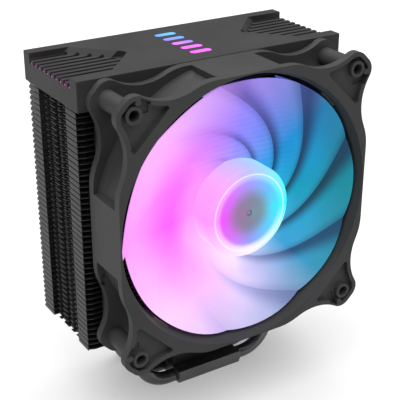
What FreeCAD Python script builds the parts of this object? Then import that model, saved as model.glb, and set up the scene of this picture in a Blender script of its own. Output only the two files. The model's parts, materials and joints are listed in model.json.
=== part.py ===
"""A single-tower CPU cooler: base, four heat pipes, stacked fins, lit top cover and a 120 mm fan.

The frame has its origin at the centre of the base's contact face, with +Z up the tower and the
fan on the -Y side. All sizes are in millimetres.
"""

import FreeCAD, Part
import math
import os

from FreeCAD import Vector

# Fan
FAN_SIZE = 120.0
FAN_DEPTH = 25.0
FAN_HOLE_SPACING = 105.0
FAN_FRONT_Y = -50.35
FAN_CENTRE_Z = 95.2
FLANGE_THICKNESS = 3.5
DUCT_MOUTH_RADIUS = 59.4
DUCT_RADIUS = 58.0
DUCT_TAPER = 4.0
DUCT_OVERLAP = 0.6
BARREL_RADIUS = 59.2
SCREW_TUBE_RADIUS = 4.0
SCREW_BOSS_RADIUS = 3.5
CABLE_WINDOW_X = 52.0
CABLE_WINDOW_Z = (45.4, 49.6)
WIDE_STRUT_SCALE = 1.9
SCREW_HOLE_RADIUS = 2.25
HUB_RADIUS = 20.0
HUB_WALL = 1.3
HUB_FRONT = 0.6
HUB_LENGTH = 17.4
BLADE_COUNT = 9
BLADE_TIP_RADIUS = 56.2
BLADE_SWEEP = (-40.8, 159.4, -65.6)
SHAFT_RADIUS = 1.5
BEARING_RADIUS = 3.0
BEARING_CLEARANCE = 0.04
MOTOR_BASE_RADIUS = 19.0
STRUT_COUNT = 7

# Fin stack
FIN_COUNT = 45
FINS_PER_PACK = 5
FIN_PITCH = 2.4425
FIN_THICKNESS = 0.4
FIN_HALF_WIDTH = 62.4
FIN_FRONT_Y = -21.85
FIN_BACK_Y = 23.0
FIN_TAB_HEIGHT = 2.05
FIRST_FIN_Z = 34.53
COLUMN_THICKNESS = 0.4

# Heat pipes
PIPE_RADIUS = 3.0
PIPE_CENTRE_Z = 2.5
PIPE_BEND_RADIUS = 14.35
PIPE_LEG_X = 34.8
PIPE_ROWS_Y = (-15.85, -5.25, 5.25, 15.85)
PIPE_TOP_Z = 144.4
PIPE_TIP_LENGTH = 2.0
PIPE_TIP_RADIUS = 1.2

# Base
BASE_HALF_WIDTH = 16.8
BASE_HALF_DEPTH = 20.65
BASE_STEP_Z = 1.8
BASE_STEP = 0.75
BASE_TOP_Z = 6.2
BLOCK_HALF_WIDTH = 16.5
BLOCK_HALF_DEPTH = 14.35
BLOCK_TOP_Z = 17.0
BLOCK_CHAMFER = 0.5
BASE_SCREW_X = 12.5
BASE_SCREW_RADIUS = 1.25
BASE_SCREW_HEAD = (2.1, 1.2)
BASE_SCREW_TOP_Z = 13.0
BRACKET_HOLE_SPACING = 22.0
BRACKET_HOLE_RADIUS = 1.25
BRACKET_HOLE_DEPTH = 8.0

# Top cover
COVER_HALF_WIDTH = 63.1
COVER_FRONT_Y = -24.95
COVER_BACK_Y = 24.65
COVER_BOTTOM_Z = 142.9
COVER_TOP_Z = 155.47
COVER_WALL = 1.6
RECESS_FLOOR_Z = 152.87
RECESS_HALF_DEPTH = 19.0
RECESS_TIP_X = 27.6
RECESS_TIP_RADIUS = 3.0
GROOVE_COUNT = 10
GROOVE_PITCH = 3.98
GROOVE_WIDTH = 1.9
GROOVE_FLOOR_Z = 151.0
LOUVRE_SKIN_Z = 150.0
MIDDLE_SKIN_Z = 153.6
EMBLEM_CENTRE = (-2.0, -0.9)
EMBLEM_SIZE = (10.0, 32.4)
EMBLEM_BARS = 5
BOARD_BOTTOM_Z = 146.7
BOARD_THICKNESS = 1.0

# Fin details
COLUMN_FRONT = (-21.35, -12.35)
COLUMN_BACK = (12.95, 21.9)
REAR_NUB = (21.8, 22.9)
REAR_NUB_HEIGHT = 1.1
COLLAR_WALL = 0.4
COLLAR_HEIGHT = 1.4

# Cover details
COVER_EDGE_RADIUS = 0.35
COVER_MIDDLE_Y = (COVER_FRONT_Y + COVER_BACK_Y) / 2
TOP_FIN_TOP_Z = FIRST_FIN_Z + (FIN_COUNT - 1) * FIN_PITCH + FIN_THICKNESS
MIDDLE_HALF_WIDTH = 20.0
RECESS_SLOPE = 0.92
FACET_RUN = 3.6
FACET_TIP_GAP = 3.2
GROOVE_UNDERCUT = 1.0
GROOVE_TOP_Z = 154.6
WINDOW_INNER_X = 56.0
WINDOW_OUTER_X = 62.7
WINDOW_HALF_WIDTH = 0.75
GUIDE_CLEARANCE = 0.05
GUIDE_OUTER_X = 61.3
FINGER_RISE = 0.3
GUIDE_BOTTOM_Z = 148.7
GUIDE_HALF_DEPTH = 19.6
EMBLEM_BAR_WIDTH = 3.6
EMBLEM_SLAB = 1.6
BOARD_HALF_WIDTH = 60.6
BOARD_HALF_DEPTH = 17.0
BOARD_SCREW_PLACES = [(x, y) for x in (-44.0, 44.0) for y in (-11.0, 11.0)]
BOARD_SCREW_RADIUS = 1.0
BOARD_SCREW_HEAD = 1.8
BOARD_SCREW_GRIP = 2.0
BOSS_RADIUS = 2.2
POST_PLACES = [(x, y) for x in (-48.0, 48.0) for y in (-20.6, 20.4)]
POST_RADIUS = 2.4
LED_END_X = 58.0
LED_ROWS_Y = (-14.0, -7.0, 0.0, 7.0, 14.0)
LED_SIZE = 3.5
LED_HEIGHT = 0.9
EMBLEM_SLAB_MARGIN = 3.0

# Frame details
FLAT_HALF_WIDTH = 17.0
DIP_X = 36.7
DIP_HEIGHT = 55.83
DIP_OUTER_RADIUS = 22.8
EAR_RADIUS = 6.0
POCKET_DEPTH = 2.4
POCKET_RIM = 1.9
POCKET_DIAGONAL = 90.0
POCKET_CORNER_RADIUS = 1.2
WINDOW_RIM = 0.7
PANEL_HALF_WIDTH = 14.9
CABLE_SLOT = ((-58.2, 21.0, -26.6), (-56.2, 25.5, -21.3))
CABLE_SLOT_MOUTH = ((-61.0, 21.0, -26.6), (-57.0, 25.5, -25.4))
WINDOW_FLOOR = 0.5
NUB_RADIUS = 1.2
NUB_PLACE = (57.2, 50.7)
BARREL_FLARE = 4.0
LIP_PAD_HEIGHT = 0.6
LIP_PAD_LENGTH = 10.0
LIP_PAD_DEPTH = 2.5
STRUT_HALF_WIDTH = 1.2
STRUT_DEPTH = 4.0
STRUT_LEAN = 1.6
STRUT_START = -62.0
WIDE_STRUT = 5
MOTOR_BASE_START = 22.4
HOUSING_RADIUS = 4.4

# Rotor details
HUB_EDGE_RADIUS = 2.6
SHAFT_BOSS_RADIUS = 3.0
SHAFT_BOSS_END = 4.6
SHAFT_START = 1.6
SHAFT_END = 22.7
BLADE_ROOT_PLANE = 15.0
BLADE_TIP_PLANE = 57.5
BLADE_ROOT_SPAN = 17.0
BLADE_TIP_SPAN = 53.2
BLADE_FRONT = (14.0, 3.0)
BLADE_BACK = (17.3, 8.4)
BLADE_THICKNESS = (1.9, 1.2)
BLADE_CAMBER = -0.05
BLADE_STEPS = 6
BLADE_SECTIONS = 8
YOKE_RADIUS = 13.4
YOKE_WALL = 0.8
YOKE_END = 15.4
MAGNET_RADIUS = 12.7
MAGNET_BORE = 11.4
MAGNET_LENGTH = 11.0
CLIP_START = 21.5
CLIP_THICKNESS = 0.4
CLIP_BORE = 1.15
CLIP_RADIUS = 2.4

# Motor details
BEARING_START = 5.0
BEARING_END = 21.0
THRUST_START = 22.75
THRUST_THICKNESS = 0.6
PLUG_LENGTH = 1.2
STATOR_START = 6.9
STATOR_END = 12.9
STATOR_RING_RADIUS = 6.2
STATOR_ARM = 3.0
STATOR_SHOE = 1.3
STATOR_SLOT = 1.6
AIR_GAP = 0.4
INSULATOR_THICKNESS = 0.9
COIL_DEPTH = 0.9
COIL_END_GAP = 0.6
BOARD_START = 19.6
DRIVER_CHIP = ((-11.0, -6.2), 5.0, 1.2)
HALL_SENSOR = ((8.6, 10.2), 4.0, 1.5)
BOARD_RADIUS = 17.6
MOTOR_BOARD_THICKNESS = 1.0
FAN_LED_RING = 15.6
FAN_LED_COUNT = 8
FAN_LED_HEIGHT = 1.3
FAN_LED_SIZE = 2.8
STRIP_X = (49.0, 55.0)
STRIP_Z = (38.0, 141.0)

FINE = 0.1
parts = {}


def box(low, high):
    """A box between two corners."""
    size = [high[i] - low[i] for i in range(3)]
    return Part.makeBox(size[0], size[1], size[2], Vector(*low))


def centred_box(half_width, half_depth, bottom, top):
    """A box centred on the tower's axis, between two heights."""
    return box((-half_width, -half_depth, bottom), (half_width, half_depth, top))


def rod(radius, start, axis, length):
    """A cylinder from a start point along an axis."""
    return Part.makeCylinder(radius, length, Vector(*start), Vector(*axis))


def fuse_all(shapes):
    """One shape from many, with the seams between coplanar faces removed."""
    joined = shapes[0].multiFuse(shapes[1:]) if len(shapes) > 1 else shapes[0]
    return joined.removeSplitter()


def prism(points, bottom, height):
    """A closed XY outline raised from a height along Z."""
    corners = [Vector(x, y, bottom) for x, y in points]
    outline = Part.makePolygon(corners + corners[:1])
    return Part.Face(outline).extrude(Vector(0, 0, height))


def fan_rod(radius, start, end, x=0.0, z=0.0):
    """A cylinder along the fan's axis, between two depths behind its front plane."""
    return rod(radius, (x, FAN_FRONT_Y + start, FAN_CENTRE_Z + z), (0, 1, 0), end - start)


def fan_ring(outer, inner, start, end):
    """A ring about the fan's axis, between two depths behind its front plane."""
    return fan_rod(outer, start, end).cut(fan_rod(inner, start - 1, end + 1))


def fan_cone(radius_a, radius_b, start, end):
    """A cone about the fan's axis, from radius_a at start to radius_b at end."""
    base = Vector(0, FAN_FRONT_Y + start, FAN_CENTRE_Z)
    return Part.makeCone(radius_a, radius_b, end - start, base, Vector(0, 1, 0))


def fan_box(low, high):
    """A box in the fan's own frame: x, depth behind the front plane, height from the centre."""
    shifted_low = (low[0], low[1] + FAN_FRONT_Y, low[2] + FAN_CENTRE_Z)
    shifted_high = (high[0], high[1] + FAN_FRONT_Y, high[2] + FAN_CENTRE_Z)
    return box(shifted_low, shifted_high)


def spun(shape, degrees):
    """A copy turned about the fan's axis, counter-clockwise as seen from the front."""
    copy = shape.copy()
    copy.rotate(Vector(0, 0, FAN_CENTRE_Z), Vector(0, -1, 0), degrees)
    return copy


def lifted(shape, height):
    """A copy moved up."""
    copy = shape.copy()
    copy.translate(Vector(0, 0, height))
    return copy


# Base and heat pipes


def pipe_channel(y, radius):
    """The straight rod that a pipe's flat run fills across the base."""
    start_x = -BASE_HALF_WIDTH - 1
    return rod(radius, (start_x, y, PIPE_CENTRE_Z), (1, 0, 0), -2 * start_x)


def base_screw_places():
    """The four screw centres, in the webs between the pipes."""
    web_y = (PIPE_ROWS_Y[2] + PIPE_ROWS_Y[3]) / 2
    return [(x, y) for x in (-BASE_SCREW_X, BASE_SCREW_X) for y in (-web_y, web_y)]


def make_base():
    """The lower plate that the pipes lie in, the block on top of it, and the screws."""
    flange = centred_box(BASE_HALF_WIDTH, BASE_HALF_DEPTH, BASE_STEP_Z, BASE_TOP_Z)
    foot = centred_box(BASE_HALF_WIDTH, BASE_HALF_DEPTH - BASE_STEP, 0, BASE_STEP_Z)
    plate = fuse_all([flange, foot])
    block = centred_box(BLOCK_HALF_WIDTH, BLOCK_HALF_DEPTH, BASE_TOP_Z, BLOCK_TOP_Z)
    top_edges = [e for e in block.Edges if e.BoundBox.ZMin > BLOCK_TOP_Z - FINE]
    block = block.makeChamfer(BLOCK_CHAMFER, top_edges)
    for y in PIPE_ROWS_Y:
        plate = plate.cut(pipe_channel(y, PIPE_RADIUS))
    head_radius, head_height = BASE_SCREW_HEAD
    screw_radius, screw_top = BASE_SCREW_RADIUS, BASE_SCREW_TOP_Z
    screws = []
    for x, y in base_screw_places():
        head = Part.makeCone(head_radius, screw_radius, head_height, Vector(x, y, 0.2))
        recess = rod(head_radius, (x, y, -1), (0, 0, 1), 1.2)
        shank = rod(screw_radius, (x, y, 0.2), (0, 0, 1), screw_top - 0.2)
        socket = Part.makeBox(2.0, 0.5, 0.5, Vector(x - 1.0, y - 0.25, 0.2))
        cross = Part.makeBox(0.5, 2.0, 0.5, Vector(x - 0.25, y - 1.0, 0.2))
        plate = plate.cut(recess.fuse([head, shank]))
        block = block.cut(rod(screw_radius, (x, y, BASE_TOP_Z), (0, 0, 1), screw_top - BASE_TOP_Z + 0.5))
        screws.append(head.fuse(shank).cut(socket.fuse(cross)).removeSplitter())
    for side in (-1, 1):
        mouth = (side * BRACKET_HOLE_SPACING / 2, 0, BLOCK_TOP_Z)
        block = block.cut(rod(BRACKET_HOLE_RADIUS, mouth, (0, 0, -1), BRACKET_HOLE_DEPTH))
    parts["base_plate"] = plate
    parts["base_upper_block"] = block
    parts["base_screws"] = Part.makeCompound(screws)


def make_heat_pipe(y):
    """One U-shaped pipe with its underside milled flat and both ends swaged."""
    flat_x = PIPE_LEG_X - PIPE_BEND_RADIUS
    bend_z = PIPE_CENTRE_Z + PIPE_BEND_RADIUS
    run = rod(PIPE_RADIUS, (-flat_x, y, PIPE_CENTRE_Z), (1, 0, 0), 2 * flat_x)
    pieces = [run]
    for side in (-1, 1):
        bend_start = Vector(side * flat_x, y, PIPE_CENTRE_Z)
        section = Part.Wire(Part.makeCircle(PIPE_RADIUS, bend_start, Vector(1, 0, 0)))
        pivot = Vector(side * flat_x, y, bend_z)
        pieces.append(Part.Face(section).revolve(pivot, Vector(0, -side, 0), 90))
        leg_top = PIPE_TOP_Z - PIPE_TIP_LENGTH
        pieces.append(rod(PIPE_RADIUS, (side * PIPE_LEG_X, y, bend_z), (0, 0, 1), leg_top - bend_z))
        tip_base = Vector(side * PIPE_LEG_X, y, leg_top)
        pieces.append(Part.makeCone(PIPE_RADIUS, PIPE_TIP_RADIUS, PIPE_TIP_LENGTH, tip_base))
    pipe = fuse_all(pieces)
    below = box((-60, y - 10, -10), (60, y + 10, 0))
    return pipe.cut(below)


# Fins


def fin_half_outline():
    """The right-hand edge of a plate, front to back: full-width ends, clip notches between them."""
    end, land, deep, shallow = FIN_HALF_WIDTH, 61.2, 59.8, 60.1
    return [
        (end - 3.2, FIN_FRONT_Y),
        (end - 2.0, FIN_FRONT_Y + 0.5),
        (end - COLUMN_THICKNESS, COLUMN_FRONT[0] + 0.5),
        (end - COLUMN_THICKNESS, COLUMN_FRONT[1]),
        (deep, COLUMN_FRONT[1]),
        (deep, -9.65),
        (land, -9.35),
        (land, -7.35),
        (deep, -7.35),
        (deep, -5.65),
        (land, -4.65),
        (land, -2.45),
        (shallow, -2.45),
        (shallow, 0.25),
        (land, 0.25),
        (land, 5.05),
        (shallow, 5.05),
        (shallow, 8.05),
        (land, 8.05),
        (land, 10.15),
        (deep, 10.15),
        (deep, COLUMN_BACK[0]),
        (end - COLUMN_THICKNESS, COLUMN_BACK[0]),
        (end - COLUMN_THICKNESS, FIN_BACK_Y - 0.3),
        (end - COLUMN_THICKNESS - 0.3, FIN_BACK_Y),
    ]


def make_fin(tab_height):
    """One plate at height zero with its four bent-up side tabs, rear nubs and eight pipe collars."""
    right = fin_half_outline()
    left = [(-x, y) for x, y in reversed(right)]
    plate = prism(right + left, 0, FIN_THICKNESS)
    pieces = [plate]
    for side in (-1, 1):
        inner = side * (FIN_HALF_WIDTH - COLUMN_THICKNESS)
        outer = side * FIN_HALF_WIDTH
        for front, back in (COLUMN_FRONT, COLUMN_BACK):
            pieces.append(box((min(inner, outer), front, 0), (max(inner, outer), back, tab_height)))
        nub_low = (min(inner, outer), REAR_NUB[0], 0)
        nub_high = (max(inner, outer), REAR_NUB[1], min(REAR_NUB_HEIGHT, tab_height))
        pieces.append(box(nub_low, nub_high))
        for y in PIPE_ROWS_Y:
            foot = (side * PIPE_LEG_X, y, 0)
            pieces.append(rod(PIPE_RADIUS + COLLAR_WALL, foot, (0, 0, 1), COLLAR_HEIGHT))
    fin = fuse_all(pieces)
    for side in (-1, 1):
        for y in PIPE_ROWS_Y:
            foot = (side * PIPE_LEG_X, y, -1)
            fin = fin.cut(rod(PIPE_RADIUS, foot, (0, 0, 1), COLLAR_HEIGHT + 2))
    return fin


def make_fin_packs():
    """The plates, grouped a few at a time from the lowest pack up."""
    fin = make_fin(FIN_TAB_HEIGHT)
    top_fin_z = FIRST_FIN_Z + (FIN_COUNT - 1) * FIN_PITCH
    top_fin = make_fin(COVER_BOTTOM_Z - top_fin_z)
    for first in range(0, FIN_COUNT, FINS_PER_PACK):
        plates = []
        for index in range(first, first + FINS_PER_PACK):
            shape = top_fin if index == FIN_COUNT - 1 else fin
            plates.append(lifted(shape, FIRST_FIN_Z + index * FIN_PITCH))
        parts[f"fin_pack_{first // FINS_PER_PACK + 1}"] = Part.makeCompound(plates)


# Top cover


def recess_prism(bottom, top, side):
    """The arrow-shaped recess at one end of the cover's top, as a solid."""
    far = COVER_HALF_WIDTH + 1
    shoulder = RECESS_TIP_X + RECESS_HALF_DEPTH * RECESS_SLOPE
    middle = COVER_MIDDLE_Y
    corners = [
        (side * far, middle - RECESS_HALF_DEPTH),
        (side * shoulder, middle - RECESS_HALF_DEPTH),
        (side * RECESS_TIP_X, middle),
        (side * shoulder, middle + RECESS_HALF_DEPTH),
        (side * far, middle + RECESS_HALF_DEPTH),
    ]
    solid = prism(corners, bottom, top - bottom)
    tip = [e for e in solid.Edges if abs(e.CenterOfMass.x - side * RECESS_TIP_X) < FINE]
    return solid.makeFillet(RECESS_TIP_RADIUS, tip)


def groove_rows():
    """The centre lines of the louvre's grooves."""
    first = COVER_MIDDLE_Y - (GROOVE_COUNT - 1) / 2 * GROOVE_PITCH
    return [first + GROOVE_PITCH * index for index in range(GROOVE_COUNT)]


def groove_end_x(y):
    """How near the middle a rear groove reaches: it stops just inside the foot of the facet."""
    return (y - COVER_MIDDLE_Y) * RECESS_SLOPE + RECESS_TIP_X + FACET_RUN - GROOVE_UNDERCUT


def make_cover():
    """The cover shell: louvred recesses at both ends, an emblem window, posts and board bosses."""
    low = (-COVER_HALF_WIDTH, COVER_FRONT_Y, COVER_BOTTOM_Z)
    outer = box(low, (COVER_HALF_WIDTH, COVER_BACK_Y, COVER_TOP_Z))
    edges = [e for e in outer.Edges if e.BoundBox.ZMax > COVER_BOTTOM_Z + FINE]
    cover = outer.makeFillet(COVER_EDGE_RADIUS, edges)
    inner_x = COVER_HALF_WIDTH - COVER_WALL
    front, back = COVER_FRONT_Y + COVER_WALL, COVER_BACK_Y - COVER_WALL
    cover = cover.cut(box((-inner_x, front, COVER_BOTTOM_Z - 1), (inner_x, back, LOUVRE_SKIN_Z)))
    middle_low = (-MIDDLE_HALF_WIDTH, front, COVER_BOTTOM_Z - 1)
    cover = cover.cut(box(middle_low, (MIDDLE_HALF_WIDTH, back, MIDDLE_SKIN_Z)))
    for side in (-1, 1):
        cover = cover.cut(recess_prism(RECESS_FLOOR_Z, COVER_TOP_Z + 1, side))
        cover = cover.fuse(make_recess_facet(side))
        for y in groove_rows():
            cover = cover.cut(groove(y, side))
        for y in groove_rows():
            window = light_window(y, side, WINDOW_HALF_WIDTH, LOUVRE_SKIN_Z - 1, GROOVE_FLOOR_Z + 1)
            cover = cover.cut(window)
    for bar in emblem_bars(0.0, MIDDLE_SKIN_Z - 1, COVER_TOP_Z + 1):
        cover = cover.cut(bar)
    posts = []
    for x, y in POST_PLACES:
        posts.append(rod(POST_RADIUS, (x, y, TOP_FIN_TOP_Z), (0, 0, 1), LOUVRE_SKIN_Z - TOP_FIN_TOP_Z))
    boss_bottom = BOARD_BOTTOM_Z + BOARD_THICKNESS
    for x, y in BOARD_SCREW_PLACES:
        posts.append(rod(BOSS_RADIUS, (x, y, boss_bottom), (0, 0, 1), LOUVRE_SKIN_Z - boss_bottom))
    cover = fuse_all([cover] + posts)
    for x, y in BOARD_SCREW_PLACES:
        cover = cover.cut(rod(BOARD_SCREW_RADIUS, (x, y, boss_bottom), (0, 0, 1), BOARD_SCREW_GRIP))
    parts["top_cover"] = cover


def make_recess_facet(side):
    """The smooth slope between the rear diagonal of a recess and its ribbed floor."""
    shoulder = RECESS_TIP_X + RECESS_HALF_DEPTH * RECESS_SLOPE
    back = COVER_MIDDLE_Y + RECESS_HALF_DEPTH
    tip_y = COVER_MIDDLE_Y + FACET_TIP_GAP
    tip_x = RECESS_TIP_X + FACET_TIP_GAP * RECESS_SLOPE
    run = FACET_RUN
    top, floor = COVER_TOP_Z, RECESS_FLOOR_Z - FINE
    points = [
        Vector(side * shoulder, back, top),
        Vector(side * shoulder, back, floor),
        Vector(side * (shoulder + run), back, floor),
        Vector(side * tip_x, tip_y, top),
        Vector(side * tip_x, tip_y, floor),
        Vector(side * (tip_x + run), tip_y, floor),
    ]
    far_end, near_end = points[:3], points[3:]
    faces = [Part.Face(Part.makePolygon(end + end[:1])) for end in (far_end, near_end)]
    for first, second in ((0, 1), (1, 2), (2, 0)):
        ring = [far_end[first], far_end[second], near_end[second], near_end[first], far_end[first]]
        faces.append(Part.Face(Part.makePolygon(ring)))
    solid = Part.makeSolid(Part.makeShell(faces))
    return solid if solid.Volume > 0 else solid.reversed()


def groove(y, side):
    """One louvre groove. A front one ends flush at the recess's wall, a rear one in a round end."""
    far = COVER_HALF_WIDTH + 1
    half = GROOVE_WIDTH / 2
    at_front = y < COVER_MIDDLE_Y
    end = RECESS_TIP_X if at_front else groove_end_x(y) + half
    low_x, high_x = sorted((side * end, side * far))
    slot = box((low_x, y - half, GROOVE_FLOOR_Z), (high_x, y + half, GROOVE_TOP_Z))
    if at_front:
        return slot.common(recess_prism(GROOVE_FLOOR_Z, GROOVE_TOP_Z, side))
    round_end = rod(half, (side * end, y, GROOVE_FLOOR_Z), (0, 0, 1), GROOVE_TOP_Z - GROOVE_FLOOR_Z)
    return slot.fuse(round_end)


def light_window(y, side, half_width, bottom, top):
    """The slot in a groove's floor that the light guide's finger fills."""
    low_x, high_x = sorted((side * WINDOW_INNER_X, side * WINDOW_OUTER_X))
    trim = WINDOW_HALF_WIDTH - half_width
    return box((low_x + trim, y - half_width, bottom), (high_x - trim, y + half_width, top))


def emblem_bars(clearance, bottom, top):
    """A plain mark of parallel round-ended bars, each smaller than its slot by a clearance."""
    length, width = EMBLEM_SIZE[0], EMBLEM_BAR_WIDTH
    pitch = (EMBLEM_SIZE[1] - width) / (EMBLEM_BARS - 1)
    bars = []
    for index in range(EMBLEM_BARS):
        y = EMBLEM_CENTRE[1] - EMBLEM_SIZE[1] / 2 + width / 2 + index * pitch
        radius = width / 2 - clearance
        reach = length / 2 - width / 2
        low_x, high_x = EMBLEM_CENTRE[0] - reach, EMBLEM_CENTRE[0] + reach
        slab = box((low_x, y - radius, bottom), (high_x, y + radius, top))
        ends = [rod(radius, (x, y, bottom), (0, 0, 1), top - bottom) for x in (low_x, high_x)]
        bars.append(fuse_all([slab] + ends))
    return bars


def make_cover_lighting():
    """The light guides, emblem lens, circuit board, LEDs and board screws under the cover."""
    for side, name in ((-1, "left"), (1, "right")):
        low_x, high_x = sorted((side * (WINDOW_INNER_X - 3), side * GUIDE_OUTER_X))
        slab = box((low_x, -GUIDE_HALF_DEPTH, GUIDE_BOTTOM_Z), (high_x, GUIDE_HALF_DEPTH, LOUVRE_SKIN_Z))
        half = WINDOW_HALF_WIDTH - GUIDE_CLEARANCE
        finger_top = GROOVE_FLOOR_Z + FINGER_RISE
        fingers = [light_window(y, side, half, LOUVRE_SKIN_Z, finger_top) for y in groove_rows()]
        parts[f"cover_light_guide_{name}"] = fuse_all([slab] + fingers)
    slab_x = EMBLEM_SIZE[0] / 2 + EMBLEM_SLAB_MARGIN
    slab_y = EMBLEM_SIZE[1] / 2 + EMBLEM_SLAB_MARGIN
    low = (EMBLEM_CENTRE[0] - slab_x, EMBLEM_CENTRE[1] - slab_y, MIDDLE_SKIN_Z - EMBLEM_SLAB)
    high = (EMBLEM_CENTRE[0] + slab_x, EMBLEM_CENTRE[1] + slab_y, MIDDLE_SKIN_Z)
    bars = emblem_bars(GUIDE_CLEARANCE, MIDDLE_SKIN_Z, COVER_TOP_Z)
    parts["emblem_lens"] = fuse_all([box(low, high)] + bars)
    board_top = BOARD_BOTTOM_Z + BOARD_THICKNESS
    board = centred_box(BOARD_HALF_WIDTH, BOARD_HALF_DEPTH, BOARD_BOTTOM_Z, board_top)
    screws = []
    for x, y in BOARD_SCREW_PLACES:
        foot = (x, y, BOARD_BOTTOM_Z)
        board = board.cut(rod(BOARD_SCREW_RADIUS, foot, (0, 0, 1), BOARD_THICKNESS))
        shank = rod(BOARD_SCREW_RADIUS, foot, (0, 0, 1), BOARD_THICKNESS + BOARD_SCREW_GRIP - 0.2)
        head = rod(BOARD_SCREW_HEAD, (x, y, BOARD_BOTTOM_Z - 1), (0, 0, 1), 1)
        screws.append(fuse_all([shank, head]))
    leds = []
    led_half = LED_SIZE / 2
    for x in (-LED_END_X, EMBLEM_CENTRE[0], LED_END_X):
        for y in LED_ROWS_Y:
            low = (x - led_half, y - led_half, board_top)
            leds.append(box(low, (x + led_half, y + led_half, board_top + LED_HEIGHT)))
    parts["cover_led_board"] = board
    parts["cover_leds"] = Part.makeCompound(leds)
    parts["cover_board_screws"] = Part.makeCompound(screws)


# Fan frame


def flange_outline(depth, inset):
    """The frame's outline, moved inwards by an inset: flat sides, dips beside the ears, round ears."""
    half = FAN_SIZE / 2
    run, drop = DIP_X - FLAT_HALF_WIDTH, half - DIP_HEIGHT
    bend = (run * run + drop * drop) / (4 * drop)
    turn = math.degrees(math.asin(run / (2 * bend)))
    ear_height = half - EAR_RADIUS
    reach = DIP_OUTER_RADIUS + EAR_RADIUS
    rise = DIP_HEIGHT + DIP_OUTER_RADIUS - ear_height
    ear_x = DIP_X + math.sqrt(reach * reach - rise * rise)
    ear_turn = math.degrees(math.asin((ear_x - DIP_X) / reach))
    arcs = [
        (FLAT_HALF_WIDTH, half - bend, bend - inset, 90, 90 - turn),
        (DIP_X, DIP_HEIGHT + bend, bend + inset, 270 - turn, 270),
        (DIP_X, DIP_HEIGHT + DIP_OUTER_RADIUS, DIP_OUTER_RADIUS + inset, 270, 270 + ear_turn),
        (ear_x, ear_height, EAR_RADIUS - inset, 90 + ear_turn, 45),
    ]
    corner = (ear_x + ear_height) / 2 + (EAR_RADIUS - inset) * math.cos(math.radians(45))
    edges = []
    for quarter in range(4):
        for mirror in (-1, 1):

            def place(x, z):
                angle = math.radians(90 * quarter)
                x *= mirror
                turned_x = x * math.cos(angle) + z * math.sin(angle)
                turned_z = z * math.cos(angle) - x * math.sin(angle)
                return Vector(turned_x, FAN_FRONT_Y + depth, FAN_CENTRE_Z + turned_z)

            def on_arc(arc, degrees):
                x, z, radius = arc[:3]
                angle = math.radians(degrees)
                return place(x + radius * math.cos(angle), z + radius * math.sin(angle))

            edges.append(Part.makeLine(place(0, half - inset), on_arc(arcs[0], arcs[0][3])))
            for arc in arcs:
                ends = [on_arc(arc, degrees) for degrees in (arc[3], (arc[3] + arc[4]) / 2, arc[4])]
                edges.append(Part.Arc(*ends).toShape())
            edges.append(Part.makeLine(on_arc(arcs[-1], arcs[-1][4]), place(corner, corner)))
    return Part.Wire(Part.__sortEdges__(edges))


def flange_slab(start, end, inset=0.0):
    """A solid with the frame's outline, between two depths."""
    return Part.Face(flange_outline(start, inset)).extrude(Vector(0, end - start, 0))


def corner_pocket():
    """The sunk triangle round the screw hole at the upper right of the front flange."""
    slab = flange_slab(-1, POCKET_DEPTH, POCKET_RIM)
    wedge = box((-80, FAN_FRONT_Y - 2, POCKET_DIAGONAL / math.sqrt(2)), (80, FAN_FRONT_Y + 10, 120))
    wedge.rotate(Vector(0, 0, 0), Vector(0, 1, 0), 45)
    wedge.translate(Vector(0, 0, FAN_CENTRE_Z))
    pocket = slab.common(wedge)
    middle = FAN_FRONT_Y + (POCKET_DEPTH - 1) / 2
    sharp = [
        e for e in pocket.Edges
        if abs(e.CenterOfMass.y - middle) < FINE
        and abs(e.CenterOfMass.x + e.CenterOfMass.z - FAN_CENTRE_Z - POCKET_DIAGONAL) < 1
    ]
    pocket = pocket.makeFillet(POCKET_CORNER_RADIUS, sharp)
    hole = FAN_HOLE_SPACING / 2
    return pocket.cut(fan_rod(SCREW_BOSS_RADIUS, -2, FAN_DEPTH, hole, hole))


def cable_window():
    """The deep slot in the flange beside the upper right screw hole, inside its rim."""
    depth = FLANGE_THICKNESS - WINDOW_FLOOR
    slab = flange_slab(-1, depth, WINDOW_RIM)
    low, high = CABLE_WINDOW_Z
    slot = slab.common(fan_box((CABLE_WINDOW_X, -2, low), (FAN_SIZE / 2, depth, high)))
    hole = FAN_HOLE_SPACING / 2
    return slot.cut(fan_rod(SCREW_TUBE_RADIUS + 0.4, -3, FAN_DEPTH, hole, hole))


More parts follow.
